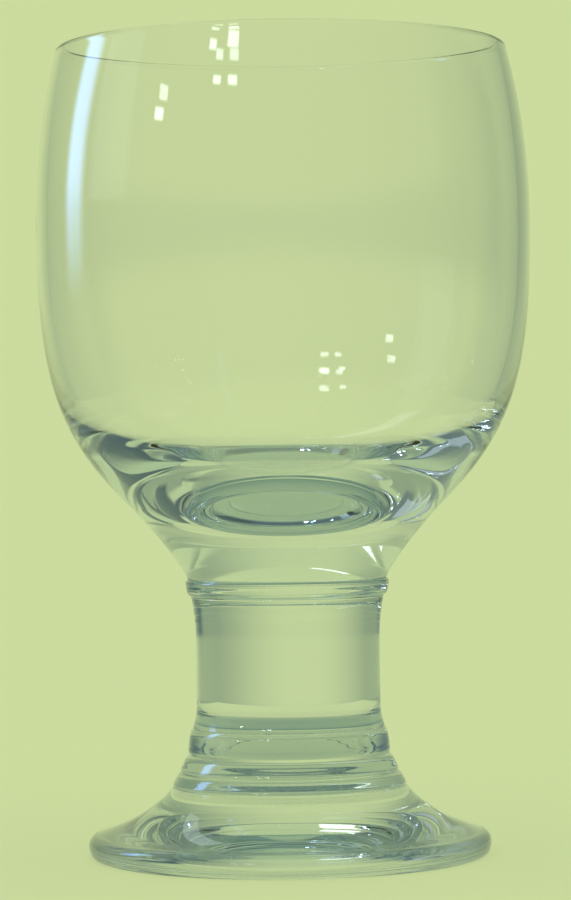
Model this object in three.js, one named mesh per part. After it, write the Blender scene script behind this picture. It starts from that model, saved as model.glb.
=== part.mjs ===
// A water goblet of clear glass, 150 mm tall: a deep bowl with a thick solid base, a bead at the
// neck, a short solid stem, three stacked rings and a heavy spreading foot. The glassmaker gathers
// each of these pieces separately and joins them hot, so neighbours meet over flat round faces.
// Lengths are in millimetres, +Z is up, and the origin is the centre of the base.
import * as THREE from "three";

// Heights of the pieces, from the foot up
const footHeight = 12.9;
const lowerRingHeight = 2.6;
const middleRingHeight = 3.2;
const upperRingHeight = 4.9;
const stemHeight = 24.4;
const collarHeight = 3.3;
const bowlHeight = 98.7;

// Radii of the round faces where one piece meets the next
const footJointRadius = 21.6;
const middleJointRadius = 20.2;
const upperJointRadius = 18.6;
const stemFootRadius = 17.9;
const stemHeadRadius = 17.9;
const neckRadius = 18.5;

// Foot: a spreading disc with a rolled edge and a shallow hollow underneath
const footRadius = 37.4;
const footEdgeHeight = 4.3;
const footEdgeCrown = 2.1;
const footWidestHeight = 2.3;
const footHeelRadius = 36.2;
const hollowRadius = 29;
const hollowDepth = 1.8;
const flareTopAngle = THREE.MathUtils.degToRad(54);
const flareEdgeAngle = THREE.MathUtils.degToRad(16);
const flareTopPullShare = 0.28;
const flareEdgePullShare = 0.38;

// Rings and collar: how far each edge stands out of its joints, and how flat it is between them
const lowerRingBulge = 0.3;
const middleRingBulge = 0.35;
const upperRingBulge = 0.35;
const collarBulge = 0.6;
const edgeFlatness = 4;

// Stem: a straight waist that spreads a little towards both ends
const waistRadius = 17.1;
const stemFootSweep = 4.5;
const stemHeadSweep = 8;

// Bowl, outside: neck, shoulder, belly and rim
const shoulderRadius = 29;
const shoulderRise = 13.7;
const bellyRadius = 45.9;
const bellyRise = 66.5;
const rimRadius = 41.9;
const neckAngle = THREE.MathUtils.degToRad(72);
const shoulderAngle = THREE.MathUtils.degToRad(44.6);
const neckPullShare = 0.2;
const underShoulderPullShare = 0.14;
const overShoulderPullShare = 0.34;
const bellyPullShare = 0.52;

// Bowl, inside: the wall grows from the rim to the turn above the solid base
const rimWall = 1.7;
const bellyWall = 2.2;
const turnWall = 4.5;
const solidBaseHeight = 12.6;
const turnShare = 0.765;
const turnAngle = THREE.MathUtils.degToRad(39.6);
const wallBellyPullShare = 0.467;
const wallTurnPullShare = 0.248;
const floorTurnPullShare = 0.286;
const floorPullShare = 0.441;

// How finely the round shapes are divided
const roundSegments = 60;
const bulgeSteps = 6;
const sweepSteps = 4;
const flareSteps = 8;
const edgeSteps = 3;
const hollowSteps = 4;
const neckSteps = 5;
const shoulderSteps = 11;
const wallSteps = 6;
const lipSteps = 4;
const floorSteps = 8;

// A point of an outline: its distance from the axis and its height in the piece.
function at(radius, height) {
  return new THREE.Vector2(radius, height);
}

// A smooth stretch between two points that leaves the first along one unit direction and arrives
// at the second along another. The pulls are shares of the straight distance between the points.
function stretch(start, leave, leavePullShare, end, arrive, arrivePullShare) {
  const distance = start.distanceTo(end);
  const first = start.clone().addScaledVector(leave, leavePullShare * distance);
  const second = end.clone().addScaledVector(arrive, -arrivePullShare * distance);
  return new THREE.CubicBezierCurve(start, first, second, end);
}

// Points of a formula over 0 to 1, both ends included.
function sample(formula, steps) {
  return Array.from({ length: steps + 1 }, (_, step) => formula(step / steps));
}

// An outline made of several lists of points, with the repeated meeting points taken out.
function joined(...lists) {
  const outline = [];
  for (const point of lists.flat()) {
    const last = outline[outline.length - 1];
    if (!last || last.distanceTo(point) > Number.EPSILON * bowlHeight) outline.push(point);
  }
  return outline;
}

// A solid of revolution about the vertical axis, from an outline that runs from the axis at the
// bottom, up the outside and back to the axis.
function turned(name, outline) {
  const geometry = new THREE.LatheGeometry(outline, roundSegments);
  geometry.rotateX(Math.PI / 2);
  const glass = new THREE.MeshStandardMaterial({ color: 0xe1eae4, roughness: 0.04, metalness: 0 });
  glass.transparent = true;
  glass.opacity = 0.35;
  const mesh = new THREE.Mesh(geometry, glass);
  mesh.name = name;
  return mesh;
}

// A ring with a flattened round edge: its radius runs straight from one joint to the other, plus a
// bulge that falls off towards both joints with a high power of the distance from the middle.
function ring(name, height, bottomRadius, topRadius, bulge) {
  const edge = sample((t) => {
    const off = -Math.cos(Math.PI * t);
    const rise = (1 + off) / 2;
    const stand = bulge * (1 - Math.abs(off) ** edgeFlatness);
    return at(THREE.MathUtils.lerp(bottomRadius, topRadius, rise) + stand, height * rise);
  }, bulgeSteps);
  return turned(name, joined([at(0, 0)], edge, [at(0, height)]));
}

// The foot: a concave flare from the joint down to the edge, a rolled edge of two quarter ellipses,
// a flat standing ring, and a hollow that rises as a parabola to the axis.
function foot() {
  const edgeTop = at(footRadius - footEdgeCrown, footEdgeHeight);
  const widest = at(footRadius, footWidestHeight);
  const heel = at(footHeelRadius, 0);
  const down = at(Math.cos(flareTopAngle), -Math.sin(flareTopAngle));
  const out = at(Math.cos(flareEdgeAngle), -Math.sin(flareEdgeAngle));
  const jointEdge = at(footJointRadius, footHeight);
  const flare = stretch(jointEdge, down, flareTopPullShare, edgeTop, out, flareEdgePullShare);
  const crown = sample((t) => {
    const angle = (Math.PI / 2) * t;
    const radius = edgeTop.x + (widest.x - edgeTop.x) * Math.sin(angle);
    return at(radius, widest.y + (edgeTop.y - widest.y) * Math.cos(angle));
  }, edgeSteps);
  const roll = sample((t) => {
    const angle = (Math.PI / 2) * t;
    return at(heel.x + (widest.x - heel.x) * Math.cos(angle), widest.y * (1 - Math.sin(angle)));
  }, edgeSteps);
  const hollow = sample((t) => at(hollowRadius * (1 - t), hollowDepth * (1 - (1 - t) ** 2)), hollowSteps);
  const outside = joined(flare.getPoints(flareSteps), crown, roll, hollow).reverse();
  return turned("foot", joined(outside, [at(0, footHeight)]));
}

// The stem: a straight waist, with a parabola that spreads it towards each joint.
function stem() {
  const spread = (endRadius, share) => waistRadius + (endRadius - waistRadius) * share ** 2;
  const footSweep = sample((t) => at(spread(stemFootRadius, 1 - t), stemFootSweep * t), sweepSteps);
  const headSweep = sample((t) => {
    return at(spread(stemHeadRadius, t), stemHeight - stemHeadSweep * (1 - t));
  }, sweepSteps);
  return turned("stem", joined([at(0, 0)], footSweep, headSweep, [at(0, stemHeight)]));
}

// The bowl. Outside, it leaves the neck, turns out over the shoulder, stands upright at the belly
// and draws in to the rim. Inside, the wall thickens downwards to the turn, and the floor of the
// cavity is flat at the axis, over a solid base.
function bowl() {
  const upright = at(0, 1);
  const flat = at(-1, 0);
  const neck = at(neckRadius, 0);
  const shoulder = at(shoulderRadius, shoulderRise);
  const belly = at(bellyRadius, bellyRise);
  const neckWay = at(Math.cos(neckAngle), Math.sin(neckAngle));
  const shoulderWay = at(Math.cos(shoulderAngle), Math.sin(shoulderAngle));
  const under = stretch(neck, neckWay, neckPullShare, shoulder, shoulderWay, underShoulderPullShare);
  const over = stretch(shoulder, shoulderWay, overShoulderPullShare, belly, upright, bellyPullShare);

  // The lip is a half circle over the wall, and the wall draws in with the square of its rise.
  const lipRadius = rimWall / 2;
  const lipRise = bowlHeight - lipRadius;
  const wall = (bottomRadius, topRadius) => (t) => {
    const radius = bottomRadius + (topRadius - bottomRadius) * t ** 2;
    return at(radius, belly.y + (lipRise - belly.y) * t);
  };
  const outerWall = sample(wall(bellyRadius, rimRadius), wallSteps);
  const innerWall = sample(wall(bellyRadius - bellyWall, rimRadius - rimWall), wallSteps).reverse();
  const lip = sample((t) => {
    const angle = Math.PI * t;
    const radius = rimRadius - lipRadius + lipRadius * Math.cos(angle);
    return at(radius, lipRise + lipRadius * Math.sin(angle));
  }, lipSteps);

  // The turn of the cavity lies one wall inside a point of the outer shoulder curve, and the
  // cavity passes it less steeply than the outside does, so that the wall keeps thickening.
  const outerWay = over.getTangent(1 - turnShare);
  const inward = at(-outerWay.y, outerWay.x);
  const turn = over.getPoint(1 - turnShare).addScaledVector(inward, turnWall);
  const downWay = at(-Math.cos(turnAngle), -Math.sin(turnAngle));
  const innerBelly = at(bellyRadius - bellyWall, bellyRise);
  const downright = upright.clone().negate();
  const innerSide = stretch(innerBelly, downright, wallBellyPullShare, turn, downWay, wallTurnPullShare);
  const floorCentre = at(0, solidBaseHeight);
  const floor = stretch(turn, downWay, floorTurnPullShare, floorCentre, flat, floorPullShare);

  const outside = joined(under.getPoints(neckSteps), over.getPoints(shoulderSteps), outerWall);
  const inside = joined(innerWall, innerSide.getPoints(shoulderSteps), floor.getPoints(floorSteps));
  return turned("bowl", joined([at(0, 0)], outside, lip, inside));
}

// Sets the pieces on each other, and returns the height of the top.
function stacked(group, pieces, bottom) {
  let height = bottom;
  for (const [piece, pieceHeight] of pieces) {
    piece.position.z = height;
    group.add(piece);
    height += pieceHeight;
  }
  return height;
}

const goblet = new THREE.Group();
const base = new THREE.Group();
const shank = new THREE.Group();
goblet.add(base, shank);
const baseHeight = stacked(
  base,
  [
    [foot(), footHeight],
    [ring("lower_ring", lowerRingHeight, footJointRadius, middleJointRadius, lowerRingBulge), lowerRingHeight],
    [ring("middle_ring", middleRingHeight, middleJointRadius, upperJointRadius, middleRingBulge), middleRingHeight],
    [ring("upper_ring", upperRingHeight, upperJointRadius, stemFootRadius, upperRingBulge), upperRingHeight],
  ],
  0,
);
const shankHeight = stacked(
  shank,
  [
    [stem(), stemHeight],
    [ring("neck_collar", collarHeight, stemHeadRadius, neckRadius, collarBulge), collarHeight],
  ],
  baseHeight,
);
const cup = bowl();
cup.position.z = shankHeight;
goblet.add(cup);

export default goblet;
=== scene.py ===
"""A clear glass water goblet on a pale surface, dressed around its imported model."""

import math

import bpy
import numpy as np
from mathutils import Matrix


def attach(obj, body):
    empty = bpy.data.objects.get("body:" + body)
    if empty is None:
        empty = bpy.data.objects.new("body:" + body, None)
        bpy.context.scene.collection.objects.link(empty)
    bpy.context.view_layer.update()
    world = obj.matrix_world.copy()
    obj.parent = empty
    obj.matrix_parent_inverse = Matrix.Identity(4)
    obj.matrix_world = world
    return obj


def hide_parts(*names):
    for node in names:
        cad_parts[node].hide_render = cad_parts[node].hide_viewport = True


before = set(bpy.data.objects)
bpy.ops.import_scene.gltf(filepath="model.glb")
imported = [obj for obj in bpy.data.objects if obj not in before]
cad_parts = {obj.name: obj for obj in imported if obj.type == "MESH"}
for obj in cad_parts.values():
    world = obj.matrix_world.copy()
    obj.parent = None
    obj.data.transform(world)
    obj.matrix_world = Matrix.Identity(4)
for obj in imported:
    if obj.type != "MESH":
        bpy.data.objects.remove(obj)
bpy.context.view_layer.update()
MM = 0.001
scene = bpy.context.scene

# The foot, a heavy gather of clear glass spun out flat while hot. Its edge is rolled over and its
# underside is hollow, so that it stands on a ring, which years on the table have scratched dull.
FOOT_HEIGHT = 12.9
FOOT_JOINT_RADIUS = 21.6
FOOT_RADIUS = 37.4
FOOT_EDGE_HEIGHT = 4.3
FOOT_EDGE_CROWN = 2.1
FOOT_WIDEST_HEIGHT = 2.3
FOOT_HEEL_RADIUS = 36.2
HOLLOW_RADIUS = 29.0
HOLLOW_DEPTH = 1.8
FLARE_TOP_ANGLE = math.radians(54)
FLARE_EDGE_ANGLE = math.radians(16)
FLARE_TOP_PULL = 0.28
FLARE_EDGE_PULL = 0.38
FLARE_STEPS = 40
EDGE_STEPS = 12
HEEL_STEPS = 7
HOLLOW_STEPS = 29
ROUND_STEPS = 240
# Each wave: waves in a round, height in mm, turn in radians per mm, start
WAVES = ((2, 0.05, 0.030, 0.4), (3, 0.03, -0.055, 2.1), (5, 0.02, 0.090, 4.0))
GLASS_IOR = 1.51
GLASS_TINT = (0.34, 0.55, 0.75)
TINT_DENSITY = 5.0
JOINT_GAP = 0.01


def way(angle, upward=1):
    """Unit direction in an outline's plane: (cos angle, upward times sin angle)."""
    return math.cos(angle), upward * math.sin(angle)


def stretch(start, leave, leave_pull, end, arrive, arrive_pull, steps):
    """Cubic Bezier curve (1-t)^3 A + 3(1-t)^2 t B + 3(1-t) t^2 C + t^3 D, in which B and C lie from
    A and D along the two directions, at a share of the distance from A to D."""
    a = np.array(start, float)
    d = np.array(end, float)
    distance = np.linalg.norm(d - a)
    b = a + leave_pull * distance * np.array(leave)
    c = d - arrive_pull * distance * np.array(arrive)
    t = np.linspace(0, 1, steps + 1)[:, None]
    return (1 - t) ** 3 * a + 3 * (1 - t) ** 2 * t * b + 3 * (1 - t) * t**2 * c + t**3 * d


def hand_wave(angle, height):
    """How far hand work leaves the glass off true: the sum of c sin(k angle + w height + p) over the
    waves, in millimetres, so each wave turns slowly as it climbs."""
    return sum(c * np.sin(k * angle + w * height + p) for k, c, w, p in WAVES)


def revolve(name, outline, joint_faces=()):
    """Surface of revolution x = r cos a, y = r sin a, z = h of the outline's points (r, h), where r
    has the hand wave added in proportion to the radius. The first and last point lie on the axis
    and become single poles. Stretches numbered in joint_faces take the second material."""
    outline = np.asarray(outline)
    r = outline[1:-1, 0][:, None]
    h = outline[1:-1, 1][:, None]
    a = np.linspace(0, 2 * np.pi, ROUND_STEPS, endpoint=False)[None, :]
    wavy = r + hand_wave(a, h) * r / FOOT_RADIUS
    rows = np.stack([wavy * np.cos(a), wavy * np.sin(a), h + 0 * a], -1)
    poles = np.array([[0, 0, outline[0, 1]], [0, 0, outline[-1, 1]]])
    points = np.concatenate([rows.reshape(-1, 3), poles]) * MM
    count = len(r)
    i = np.arange(ROUND_STEPS)
    j = (i + 1) % ROUND_STEPS
    first = np.arange(count - 1)[:, None] * ROUND_STEPS
    quads = np.stack([first + i, first + j, first + ROUND_STEPS + j, first + ROUND_STEPS + i], -1)
    top = (count - 1) * ROUND_STEPS
    bottom_fan = np.stack([np.full_like(i, count * ROUND_STEPS), j, i], -1)
    top_fan = np.stack([top + i, top + j, np.full_like(i, count * ROUND_STEPS + 1)], -1)
    faces = bottom_fan.tolist() + quads.reshape(-1, 4).tolist() + top_fan.tolist()
    mesh = bpy.data.meshes.new(name)
    mesh.from_pydata(points.tolist(), [], faces)
    stretches = np.repeat(np.arange(count + 1), ROUND_STEPS)
    in_joint = np.isin(stretches, [k % (count + 1) for k in joint_faces])
    mesh.polygons.foreach_set("use_smooth", ~in_joint)
    mesh.polygons.foreach_set("material_index", in_joint.astype(np.int32))
    mesh.update()
    piece = bpy.data.objects.new(name, mesh)
    scene.collection.objects.link(piece)
    return piece


def add_node(tree, kind, inputs=None, **settings):
    """A node in a tree, with its settings, and its inputs set to values or linked to outputs."""
    node = tree.nodes.new(kind)
    for name, value in settings.items():
        setattr(node, name, value)
    for name, value in (inputs or {}).items():
        if isinstance(value, bpy.types.NodeSocket):
            tree.links.new(value, node.inputs[name])
        else:
            node.inputs[name].default_value = value
    return node


def new_group(name, inputs, output):
    """An empty node group with named float inputs and one named float output."""
    group = bpy.data.node_groups.new(name, "ShaderNodeTree")
    for label, value in inputs.items():
        socket = group.interface.new_socket(label, in_out="INPUT", socket_type="NodeSocketFloat")
        socket.default_value = value
    group.interface.new_socket(output, in_out="OUTPUT", socket_type="NodeSocketFloat")
    return group, group.nodes.new("NodeGroupInput").outputs, group.nodes.new("NodeGroupOutput").inputs


def maths(tree, operation, *terms):
    """The output of a math node on values or outputs."""
    return add_node(tree, "ShaderNodeMath", dict(enumerate(terms)), operation=operation).outputs[0]


def off(tree, value, centre):
    """How far a value lies from a centre, to either side."""
    return maths(tree, "ABSOLUTE", maths(tree, "SUBTRACT", value, centre))


def ramp(tree, value, start, end):
    """0 at start to 1 at end, by the smooth step 3t^2 - 2t^3."""
    inputs = {"Value": value, "From Min": start, "From Max": end}
    return add_node(tree, "ShaderNodeMapRange", inputs, interpolation_type="SMOOTHSTEP").outputs[0]


def noise(tree, position, scale, detail):
    """Fractal noise about 0.5, with its features 1 / scale metres across."""
    inputs = {"Vector": position, "Scale": scale, "Detail": detail}
    return add_node(tree, "ShaderNodeTexNoise", inputs).outputs["Fac"]


# Marks that the tools leave in hot glass as it turns: faint level ridges round the piece, and
# broad soft ripples where it flowed. The height comes out in metres.
RIDGE_FLATTENING = (0.06, 0.06, 1)
RIDGE_SCALE = 700
RIPPLE_SCALE = 70
NOISE_MEAN = 0.5
tooling, given, put = new_group("tooling_marks", {"Ridge Depth": 2e-6, "Ripple Depth": 1e-5}, "Height")
position = add_node(tooling, "ShaderNodeTexCoord").outputs["Object"]
level_bands = add_node(tooling, "ShaderNodeVectorMath", {0: position, 1: RIDGE_FLATTENING},
                       operation="MULTIPLY").outputs[0]
ridges = maths(tooling, "SUBTRACT", noise(tooling, level_bands, RIDGE_SCALE, 1), NOISE_MEAN)
ripples = maths(tooling, "SUBTRACT", noise(tooling, position, RIPPLE_SCALE, 1), NOISE_MEAN)
ridge_height = maths(tooling, "MULTIPLY", ridges, given["Ridge Depth"])
ripple_height = maths(tooling, "MULTIPLY", ripples, given["Ripple Depth"])
tooling.links.new(maths(tooling, "ADD", ridge_height, ripple_height), put["Height"])

# Signs of handling: soft cloudy smears left by hands and cloths, and small dried water spots, which
# are thin rings in a few of the cells of a cell pattern.
CLOUD_SCALE = 38
CLOUD_EDGE = (0.55, 0.72)
STREAK_SCALE = 420
STREAK_EDGE = (0.42, 0.6)
SPOT_SCALE = 260.0
SPOT_RADIUS = 0.14
SPOT_LINE = 0.05
SPOT_RARITY = (0.9, 0.92)
handling, given, put = new_group("handling_haze", {"Smears": 0.05, "Spots": 0.1}, "Haze")
position = add_node(handling, "ShaderNodeTexCoord").outputs["Object"]
cloudy = ramp(handling, noise(handling, position, CLOUD_SCALE, 4), *CLOUD_EDGE)
streaked = ramp(handling, noise(handling, position, STREAK_SCALE, 2), *STREAK_EDGE)
smears = maths(handling, "MULTIPLY", maths(handling, "MULTIPLY", cloudy, streaked), given["Smears"])
cells = add_node(handling, "ShaderNodeTexVoronoi",
                 {"Vector": position, "Scale": SPOT_SCALE, "Randomness": 1.0}).outputs
spot_ring = ramp(handling, off(handling, cells["Distance"], SPOT_RADIUS), SPOT_LINE, 0.0)
cell_number = add_node(handling, "ShaderNodeSeparateColor", {0: cells["Color"]}).outputs[0]
spot_here = maths(handling, "MULTIPLY", spot_ring, ramp(handling, cell_number, *SPOT_RARITY))
spots = maths(handling, "MULTIPLY", spot_here, given["Spots"])
handling.links.new(maths(handling, "ADD", smears, spots), put["Haze"])

# Wear on the ring that the goblet stands on: short scratches in every direction, thickest where
# the glass touches the table and gone above the roll of the edge.
SCRATCH_SCALE = 4000
SCRATCH_EDGE = (0.4, 0.65)
wear, given, put = new_group("standing_wear", {"Reach": 0.0008, "Strength": 0.5}, "Wear")
position = add_node(wear, "ShaderNodeTexCoord").outputs["Object"]
height = add_node(wear, "ShaderNodeSeparateXYZ", {0: position}).outputs["Z"]
low = maths(wear, "DIVIDE", height, given["Reach"])
scratches = ramp(wear, noise(wear, position, SCRATCH_SCALE, 3), *SCRATCH_EDGE)
scratched = maths(wear, "MULTIPLY", ramp(wear, low, 1.0, 0.0), scratches)
wear.links.new(maths(wear, "MULTIPLY", scratched, given["Strength"]), put["Wear"])


def place(tree, group, values):
    """A node group in a material, with its own values."""
    node = tree.nodes.new("ShaderNodeGroup")
    node.node_tree = group
    for label, value in values.items():
        node.inputs[label].default_value = value
    return node.outputs[0]


def fill(tree):
    """Fills the inside with glass that takes more red than green, and more green than blue."""
    inputs = {"Color": (*GLASS_TINT, 1), "Density": TINT_DENSITY}
    absorb = add_node(tree, "ShaderNodeVolumeAbsorption", inputs)
    tree.links.new(absorb.outputs["Volume"], tree.nodes["Material Output"].inputs["Volume"])


def clear_glass(name, tooling_values, handling_values, wear_values=None):
    """Clear glass: tooling marks in the normal, and haze and wear in the roughness."""
    material = bpy.data.materials.new(name)
    material.use_nodes = True
    tree = material.node_tree
    shader = tree.nodes["Principled BSDF"]
    shader.inputs["Base Color"].default_value = (1, 1, 1, 1)
    shader.inputs["IOR"].default_value = GLASS_IOR
    shader.inputs["Transmission Weight"].default_value = 1.0
    marks = place(tree, tooling, tooling_values)
    bump = add_node(tree, "ShaderNodeBump", {"Height": marks, "Strength": 1.0, "Distance": 1.0})
    tree.links.new(bump.outputs["Normal"], shader.inputs["Normal"])
    dull = place(tree, handling, handling_values)
    if wear_values:
        dull = maths(tree, "MAXIMUM", dull, place(tree, wear, wear_values))
    tree.links.new(dull, shader.inputs["Roughness"])
    fill(tree)
    return material


# Inside a hot joint there is no surface left, so the faces there let light straight through. The
# glass on both sides of them is the same.
joint = bpy.data.materials.new("fused_joint")
joint.use_nodes = True
joint.node_tree.nodes["Principled BSDF"].inputs["Alpha"].default_value = 0.0
fill(joint.node_tree)


def finish(piece, material, node):
    """Gives the piece its glass and sets it in the frame in place of its solid."""
    piece.data.materials.append(material)
    piece.data.materials.append(joint)
    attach(piece, "root")
    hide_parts(node)


edge_top = (FOOT_RADIUS - FOOT_EDGE_CROWN, FOOT_EDGE_HEIGHT)
flare = stretch((FOOT_JOINT_RADIUS, FOOT_HEIGHT), way(FLARE_TOP_ANGLE, -1), FLARE_TOP_PULL,
                edge_top, way(FLARE_EDGE_ANGLE, -1), FLARE_EDGE_PULL, FLARE_STEPS)
quarter = np.linspace(0, np.pi / 2, EDGE_STEPS + 1)
crown = np.stack([edge_top[0] + FOOT_EDGE_CROWN * np.sin(quarter),
                  FOOT_WIDEST_HEIGHT + (FOOT_EDGE_HEIGHT - FOOT_WIDEST_HEIGHT) * np.cos(quarter)], -1)
roll = np.stack([FOOT_HEEL_RADIUS + (FOOT_RADIUS - FOOT_HEEL_RADIUS) * np.cos(quarter),
                 FOOT_WIDEST_HEIGHT * (1 - np.sin(quarter))], -1)
standing = np.linspace((FOOT_HEEL_RADIUS, 0), (HOLLOW_RADIUS, 0), HEEL_STEPS + 1)
share = np.linspace(0, 1, HOLLOW_STEPS + 1)
hollow = np.stack([HOLLOW_RADIUS * (1 - share), HOLLOW_DEPTH * (1 - (1 - share) ** 2)], -1)
underside = np.concatenate([flare, crown[1:], roll[1:], standing[1:], hollow[1:]])[::-1]
foot_outline = np.concatenate([underside, [[0, FOOT_HEIGHT]]])
foot_glass = clear_glass("foot_glass", {"Ridge Depth": 1.5e-6, "Ripple Depth": 2.5e-5},
                         {"Smears": 0.03, "Spots": 0.08}, {"Reach": 0.0003, "Strength": 0.3})
foot = revolve("foot_glass", foot_outline, joint_faces=[-1])
finish(foot, foot_glass, "foot")

# The three rings, trailed on hot one above the other where the stem meets the foot. Each was
# pressed nearly flat at the edge, and the fine grooves left between them show as dark lines.
# Each ring: height, radius of its upper joint, bulge
LOWER_RING = (2.6, 20.2, 0.3)
MIDDLE_RING = (3.2, 18.6, 0.35)
UPPER_RING = (4.9, 17.9, 0.35)
EDGE_FLATNESS = 4
RING_STEPS = 40
stem_glass = clear_glass("stem_glass", {"Ridge Depth": 3e-6, "Ripple Depth": 2e-5},
                         {"Smears": 0.04, "Spots": 0.08})


def ring(name, node, bottom, bottom_radius, height, top_radius, bulge):
    """Radius = straight line from the lower joint to the upper one + bulge (1 - |u|^n), where u runs
    from -1 to 1 with the height and n is the edge's flatness."""
    u = -np.cos(np.linspace(0, np.pi, RING_STEPS + 1))
    rise = (1 + u) / 2
    straight = bottom_radius + (top_radius - bottom_radius) * rise
    low = bottom + JOINT_GAP
    edge = np.stack([straight + bulge * (1 - np.abs(u) ** EDGE_FLATNESS),
                     low + (bottom + height - low) * rise], -1)
    outline = np.concatenate([[[0, low]], edge, [[0, bottom + height]]])
    finish(revolve(name, outline, joint_faces=[0, -1]), stem_glass, node)
    return bottom + height, top_radius


lower_top, radius = ring("lower_ring_glass", "lower_ring", FOOT_HEIGHT, FOOT_JOINT_RADIUS, *LOWER_RING)
middle_top, radius = ring("middle_ring_glass", "middle_ring", lower_top, radius, *MIDDLE_RING)
stem_bottom, stem_foot_radius = ring("upper_ring_glass", "upper_ring", middle_top, radius, *UPPER_RING)

# The stem, a solid post of clear glass. Its waist is straight, and it spreads a little at both
# ends, where it was joined hot.
STEM_HEIGHT = 24.4
WAIST_RADIUS = 17.1
STEM_HEAD_RADIUS = 17.9
STEM_FOOT_SWEEP = 4.5
STEM_HEAD_SWEEP = 8.0
SWEEP_STEPS = 23
WAIST_STEPS = 9
stem_top = stem_bottom + STEM_HEIGHT
along = np.linspace(0, 1, SWEEP_STEPS + 1)
foot_sweep = np.stack([WAIST_RADIUS + (stem_foot_radius - WAIST_RADIUS) * (1 - along) ** 2,
                       stem_bottom + JOINT_GAP + (STEM_FOOT_SWEEP - JOINT_GAP) * along], -1)
head_sweep = np.stack([WAIST_RADIUS + (STEM_HEAD_RADIUS - WAIST_RADIUS) * along**2,
                       stem_top - STEM_HEAD_SWEEP * (1 - along)], -1)
waist = np.linspace(foot_sweep[-1], head_sweep[0], WAIST_STEPS + 1)[1:-1]
stem_side = np.concatenate([foot_sweep, waist, head_sweep])
stem_outline = np.concatenate([[[0, stem_bottom + JOINT_GAP]], stem_side, [[0, stem_top]]])
stem = revolve("stem_glass", stem_outline, joint_faces=[0, -1])
finish(stem, stem_glass, "stem")

# The collar, a small bead of glass wrapped round between the stem and the neck of the bowl. It has
# the shape of a ring with a rounder edge.
COLLAR = (3.3, 18.5, 0.6)
neck_bottom, neck_radius = ring("neck_collar_glass", "neck_collar", stem_top, STEM_HEAD_RADIUS, *COLLAR)

# The bowl, blown and shaped from one large gather. Its wall is thin at the rounded lip and keeps
# thickening downwards, and under the flat-bottomed cavity a solid base narrows to the neck.
BOWL_HEIGHT = 98.7
SHOULDER = (29.0, 13.7)
BELLY_RADIUS = 45.9
BELLY_RISE = 66.5
RIM_RADIUS = 41.9
NECK_ANGLE = math.radians(72)
SHOULDER_ANGLE = math.radians(44.6)
UNDER_PULLS = (0.2, 0.14)
OVER_PULLS = (0.34, 0.52)
RIM_WALL = 1.7
BELLY_WALL = 2.2
TURN_WALL = 4.5
SOLID_BASE = 12.6
TURN_SHARE = 0.765
TURN_ANGLE = math.radians(39.6)
SIDE_PULLS = (0.467, 0.248)
FLOOR_PULLS = (0.286, 0.441)
UNDER_STEPS = 50
OVER_STEPS = 200
WALL_STEPS = 49
LIP_STEPS = 24
SIDE_STEPS = 80
FLOOR_STEPS = 60
lip_radius = RIM_WALL / 2
lip_rise = BOWL_HEIGHT - lip_radius


def drawn_in(belly, rim):
    """Radius = belly + (rim - belly) t^2, so the wall draws in with the square of its rise t."""
    t = np.linspace(0, 1, WALL_STEPS + 1)
    return np.stack([belly + (rim - belly) * t**2, BELLY_RISE + (lip_rise - BELLY_RISE) * t], -1)


shoulder_way = way(SHOULDER_ANGLE)
under = stretch((neck_radius, 0), way(NECK_ANGLE), UNDER_PULLS[0],
                SHOULDER, shoulder_way, UNDER_PULLS[1], UNDER_STEPS)
under[0, 1] = JOINT_GAP
over = stretch(SHOULDER, shoulder_way, OVER_PULLS[0],
               (BELLY_RADIUS, BELLY_RISE), (0, 1), OVER_PULLS[1], OVER_STEPS)
half = np.linspace(0, np.pi, LIP_STEPS + 1)[1:-1]
lip = np.stack([RIM_RADIUS - lip_radius + lip_radius * np.cos(half),
                lip_rise + lip_radius * np.sin(half)], -1)
turn_step = round((1 - TURN_SHARE) * OVER_STEPS)
over_way = over[turn_step + 1] - over[turn_step - 1]
inward = np.array([-over_way[1], over_way[0]]) / np.linalg.norm(over_way)
turn = over[turn_step] + TURN_WALL * inward
down_way = (-math.cos(TURN_ANGLE), -math.sin(TURN_ANGLE))
cavity_side = stretch((BELLY_RADIUS - BELLY_WALL, BELLY_RISE), (0, -1), SIDE_PULLS[0],
                      turn, down_way, SIDE_PULLS[1], SIDE_STEPS)
cavity_floor = stretch(turn, down_way, FLOOR_PULLS[0],
                       (0, SOLID_BASE), (-1, 0), FLOOR_PULLS[1], FLOOR_STEPS)
outer_wall = drawn_in(BELLY_RADIUS, RIM_RADIUS)
inner_wall = drawn_in(BELLY_RADIUS - BELLY_WALL, RIM_RADIUS - RIM_WALL)[::-1]
outside = np.concatenate([[[0, JOINT_GAP]], under, over[1:], outer_wall[1:]])
inside = np.concatenate([inner_wall, cavity_side[1:], cavity_floor[1:]])
bowl_glass = clear_glass("bowl_glass", {"Ridge Depth": 1e-6, "Ripple Depth": 1.2e-5},
                         {"Smears": 0.05, "Spots": 0.1})
bowl = revolve("bowl_glass", np.concatenate([outside, lip, inside]) + [0, neck_bottom], joint_faces=[0])
finish(bowl, bowl_glass, "bowl")

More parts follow.
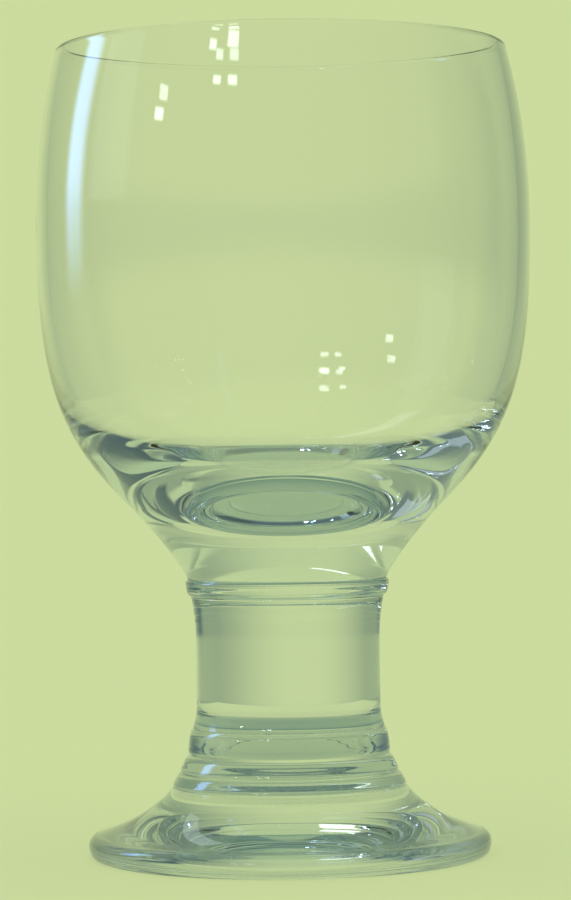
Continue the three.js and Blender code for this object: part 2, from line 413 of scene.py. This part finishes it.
# The pale sheet that the goblet stands on, a hair under it, as glass touches a table at few points.
# It ends a little way behind the goblet, and what lies beyond it has the same colour. It has a
# painted glow: it gives off light itself, standing in for light from below, so its shadow is soft.
BACKDROP = (0.60, 0.71, 0.345)
SHEET_GAP = 0.05
SHEET_LEFT = -0.18
SHEET_RIGHT = 0.16
SHEET_FRONT = -0.40
SHEET_BACK = 0.22
GLOW_SHARE = 0.75
sheet_mesh = bpy.data.meshes.new("sheet")
front_corners = [(SHEET_LEFT, SHEET_FRONT, -SHEET_GAP * MM), (SHEET_RIGHT, SHEET_FRONT, -SHEET_GAP * MM)]
back_corners = [(SHEET_RIGHT, SHEET_BACK, -SHEET_GAP * MM), (SHEET_LEFT, SHEET_BACK, -SHEET_GAP * MM)]
sheet_mesh.from_pydata(front_corners + back_corners, [], [(0, 1, 2, 3)])
sheet = bpy.data.objects.new("sheet", sheet_mesh)
scene.collection.objects.link(sheet)
sheet_paint = bpy.data.materials.new("sheet_paint")
sheet_paint.use_nodes = True
paint = sheet_paint.node_tree.nodes["Principled BSDF"]
# A painted glow: three quarters of the sheet's colour is emission, light it gives off though it is no lamp.
paint.inputs["Base Color"].default_value = (*[(1 - GLOW_SHARE) * part for part in BACKDROP], 1)
paint.inputs["Emission Color"].default_value = (*BACKDROP, 1)
paint.inputs["Emission Strength"].default_value = GLOW_SHARE
paint.inputs["Roughness"].default_value = 0.9
paint.inputs["Specular IOR Level"].default_value = 0.0
sheet_mesh.materials.append(sheet_paint)

# A tall narrow lamp behind a diffuser, close by on the left. It is there for its reflection, which
# runs down the side of the bowl, so it lights nothing else. It fades towards its edges.
LAMP_BEARING = math.radians(-73)
LAMP_DISTANCE = 0.44
LAMP_HEIGHT = 0.255
LAMP_WIDTH = 0.14
LAMP_LENGTH = 0.35
LAMP_POWER = 1.35
LAMP_COLOUR = (0.28, 0.48, 1.0)
LAMP_FADE = (0.5, 0.15)
lamp_data = bpy.data.lights.new("strip_lamp", "AREA")
lamp_data.shape = "RECTANGLE"
lamp_data.size = LAMP_WIDTH
lamp_data.size_y = LAMP_LENGTH
lamp_data.energy = LAMP_POWER
lamp_data.color = LAMP_COLOUR
lamp_data.use_nodes = True
diffuser = lamp_data.node_tree
on_lamp = add_node(diffuser, "ShaderNodeNewGeometry").outputs["Parametric"]
shares = add_node(diffuser, "ShaderNodeSeparateXYZ", {0: on_lamp}).outputs
fade = [ramp(diffuser, off(diffuser, shares[axis], 0.5), *LAMP_FADE) for axis in (0, 1)]
diffuser.links.new(maths(diffuser, "MULTIPLY", *fade), diffuser.nodes["Emission"].inputs["Strength"])
lamp = bpy.data.objects.new("strip_lamp", lamp_data)
scene.collection.objects.link(lamp)
lamp.location = (LAMP_DISTANCE * math.sin(LAMP_BEARING), LAMP_DISTANCE * math.cos(LAMP_BEARING), LAMP_HEIGHT)
lamp.rotation_euler = (math.radians(90), 0, math.pi - LAMP_BEARING)
lamp.visible_transmission = False
lamp.visible_diffuse = False

# The room. Ahead stands a pale backdrop, duller towards its sides and wider higher up. The wall past
# it is dark on the right and middling elsewhere, and it is pale overhead and low down. A few bright
# panes stand round it. The floor gets plain white light from overhead instead.
# Bearings are in degrees from straight ahead, to the right, and heights are sines of the angle up.
# Of each pair of edges, the part is absent at the first and full at the second.
BACKDROP_BEARING = -6
BACKDROP_EDGE = (70, 60)
WIDENING_START = 0.25
WIDENING = 100
FLANK = (0.29, 0.38, 0.22)
FLANK_EDGE = (4, 44)
MIDDLING = (0.12, 0.18, 0.18)
DARK = (0.05, 0.10, 0.11)
DARK_BEARING = 85
DARK_EDGE = (62, 42)
OVERHEAD_EDGE = (0.50, 0.75)
LOW_FLANK_EDGE = (90, 75)
LOW_FLANK_SHARE = 0.9
WALL_FOOT = (-0.08, 0.02)
PANE_LIGHT = (0.85, 0.95, 1.0)
PANE_SIDE_BLUR = 1
PANE_END_BLUR = 0.012
# Each pane: bearing, half width, lower height, upper height, strength
PANES = (
    (-155, 2.4, 0.53, 0.56, 14),
    (-144, 1.4, 0.515, 0.53, 14),
    (-156, 1.8, 0.425, 0.44, 14),
    (-148, 1.4, 0.422, 0.434, 14),
    (-119, 1.8, 0.305, 0.325, 14),
    (-91, 11.0, 0.10, 0.60, 0.35),
    (-28, 14.0, 0.67, 0.74, 1.2),
)
SKY_EDGE = (0.55, 0.85)
SKY_LEVEL = 0.35
SKY_SPAN = 1.27
world = bpy.data.worlds.new("studio")
scene.world = world
world.use_nodes = True
air = world.node_tree


def blend(factor, first, second):
    """The first colour where the factor is 0, and the second where it is 1."""
    colours = {6: first, 7: second}
    for place_in, colour in colours.items():
        if not isinstance(colour, bpy.types.NodeSocket):
            colours[place_in] = (*colour, 1)
    return add_node(air, "ShaderNodeMix", {"Factor": factor, **colours}, data_type="RGBA").outputs[2]


generated = add_node(air, "ShaderNodeTexCoord").outputs["Generated"]
x, y, z = add_node(air, "ShaderNodeSeparateXYZ", {0: generated}).outputs
bearing = maths(air, "MULTIPLY", maths(air, "ARCTAN2", x, y), 180 / math.pi)
off_centre = off(air, bearing, BACKDROP_BEARING)
flanks = ramp(air, off_centre, *FLANK_EDGE)
climb = maths(air, "MAXIMUM", maths(air, "SUBTRACT", z, WIDENING_START), 0.0)
narrowed = maths(air, "SUBTRACT", off_centre, maths(air, "MULTIPLY", climb, WIDENING))
ahead = ramp(air, narrowed, *BACKDROP_EDGE)
dark = ramp(air, off(air, bearing, DARK_BEARING), *DARK_EDGE)
upright_parts = blend(ahead, blend(dark, MIDDLING, DARK), blend(flanks, BACKDROP, FLANK))
above = blend(ramp(air, z, *OVERHEAD_EDGE), upright_parts, BACKDROP)
low_flanks = maths(air, "MULTIPLY", flanks, ramp(air, off_centre, *LOW_FLANK_EDGE))
below = blend(maths(air, "MULTIPLY", low_flanks, LOW_FLANK_SHARE), BACKDROP, FLANK)
surroundings = blend(ramp(air, z, *WALL_FOOT), below, above)
path = add_node(air, "ShaderNodeLightPath").outputs
room = blend(path["Is Camera Ray"], surroundings, BACKDROP)
panes = 0.0
for pane_bearing, half_width, lower, upper, strength in PANES:
    half_height = (upper - lower) / 2
    off_bearing = off(air, bearing, pane_bearing)
    off_height = off(air, z, (lower + upper) / 2)
    in_width = ramp(air, off_bearing, half_width + PANE_SIDE_BLUR, half_width)
    in_height = ramp(air, off_height, half_height + PANE_END_BLUR, half_height)
    pane = maths(air, "MULTIPLY", maths(air, "MULTIPLY", in_width, in_height), strength)
    panes = maths(air, "ADD", pane, panes)
pane_light = add_node(air, "ShaderNodeVectorMath", {0: PANE_LIGHT, "Scale": panes}, operation="SCALE")
lit = add_node(air, "ShaderNodeVectorMath", {0: room, 1: pane_light.outputs[0]}, operation="ADD")
overhead_light = maths(air, "MULTIPLY_ADD", ramp(air, z, *SKY_EDGE), SKY_SPAN, SKY_LEVEL)
sky = add_node(air, "ShaderNodeCombineColor", {part: overhead_light for part in (0, 1, 2)})
on_floor = maths(air, "GREATER_THAN", path["Diffuse Depth"], 0.5)
seen = blend(on_floor, lit.outputs[0], sky.outputs[0])
air.links.new(seen, air.nodes["Background"].inputs["Color"])

# Light crosses many surfaces inside thick glass before it leaves, so the paths are kept long.
scene.cycles.max_bounces = 24
scene.cycles.diffuse_bounces = 8
scene.cycles.transmission_bounces = 24
scene.cycles.glossy_bounces = 24
scene.cycles.transparent_max_bounces = 48

# The camera. It stands close by, level with the middle of the goblet, so it sees the rim from a
# little below and the foot from above. It leans slightly, so that the axis of the goblet tips to the
# left in the picture.
PICTURE_WIDTH = 571
PICTURE_HEIGHT = 900
AXIS_COLUMN = 290.5
BASE_ROW = 853.4
PIXELS_PER_MM = 5.37
CAMERA_DISTANCE = 0.60
CAMERA_TILT = math.radians(0.16)
CAMERA_LEAN = math.radians(-0.72)
SENSOR_HEIGHT = 36.0
NEAREST_SEEN = 0.05
camera_data = bpy.data.cameras.new("camera")
camera_data.sensor_fit = "VERTICAL"
camera_data.sensor_height = SENSOR_HEIGHT
camera_data.lens = SENSOR_HEIGHT * CAMERA_DISTANCE / (PICTURE_HEIGHT / PIXELS_PER_MM * MM)
camera_data.clip_start = NEAREST_SEEN
camera = bpy.data.objects.new("camera", camera_data)
scene.collection.objects.link(camera)
scene.camera = camera
forward = np.array([0.0, math.cos(CAMERA_TILT), -math.sin(CAMERA_TILT)])
upright = np.array([0.0, math.sin(CAMERA_TILT), math.cos(CAMERA_TILT)])
sideways = np.array([1.0, 0.0, 0.0])
lean_side = math.cos(CAMERA_LEAN) * sideways + math.sin(CAMERA_LEAN) * upright
lean_up = math.cos(CAMERA_LEAN) * upright - math.sin(CAMERA_LEAN) * sideways
shift_side = (PICTURE_WIDTH / 2 - AXIS_COLUMN) / PIXELS_PER_MM * MM
shift_up = (BASE_ROW - PICTURE_HEIGHT / 2) / PIXELS_PER_MM * MM
stance = np.eye(4)
stance[:3, 0] = lean_side
stance[:3, 1] = lean_up
stance[:3, 2] = -forward
stance[:3, 3] = shift_side * lean_side + shift_up * lean_up - CAMERA_DISTANCE * forward
camera.matrix_world = Matrix(stance.tolist())

scene.view_settings.view_transform = "Standard"
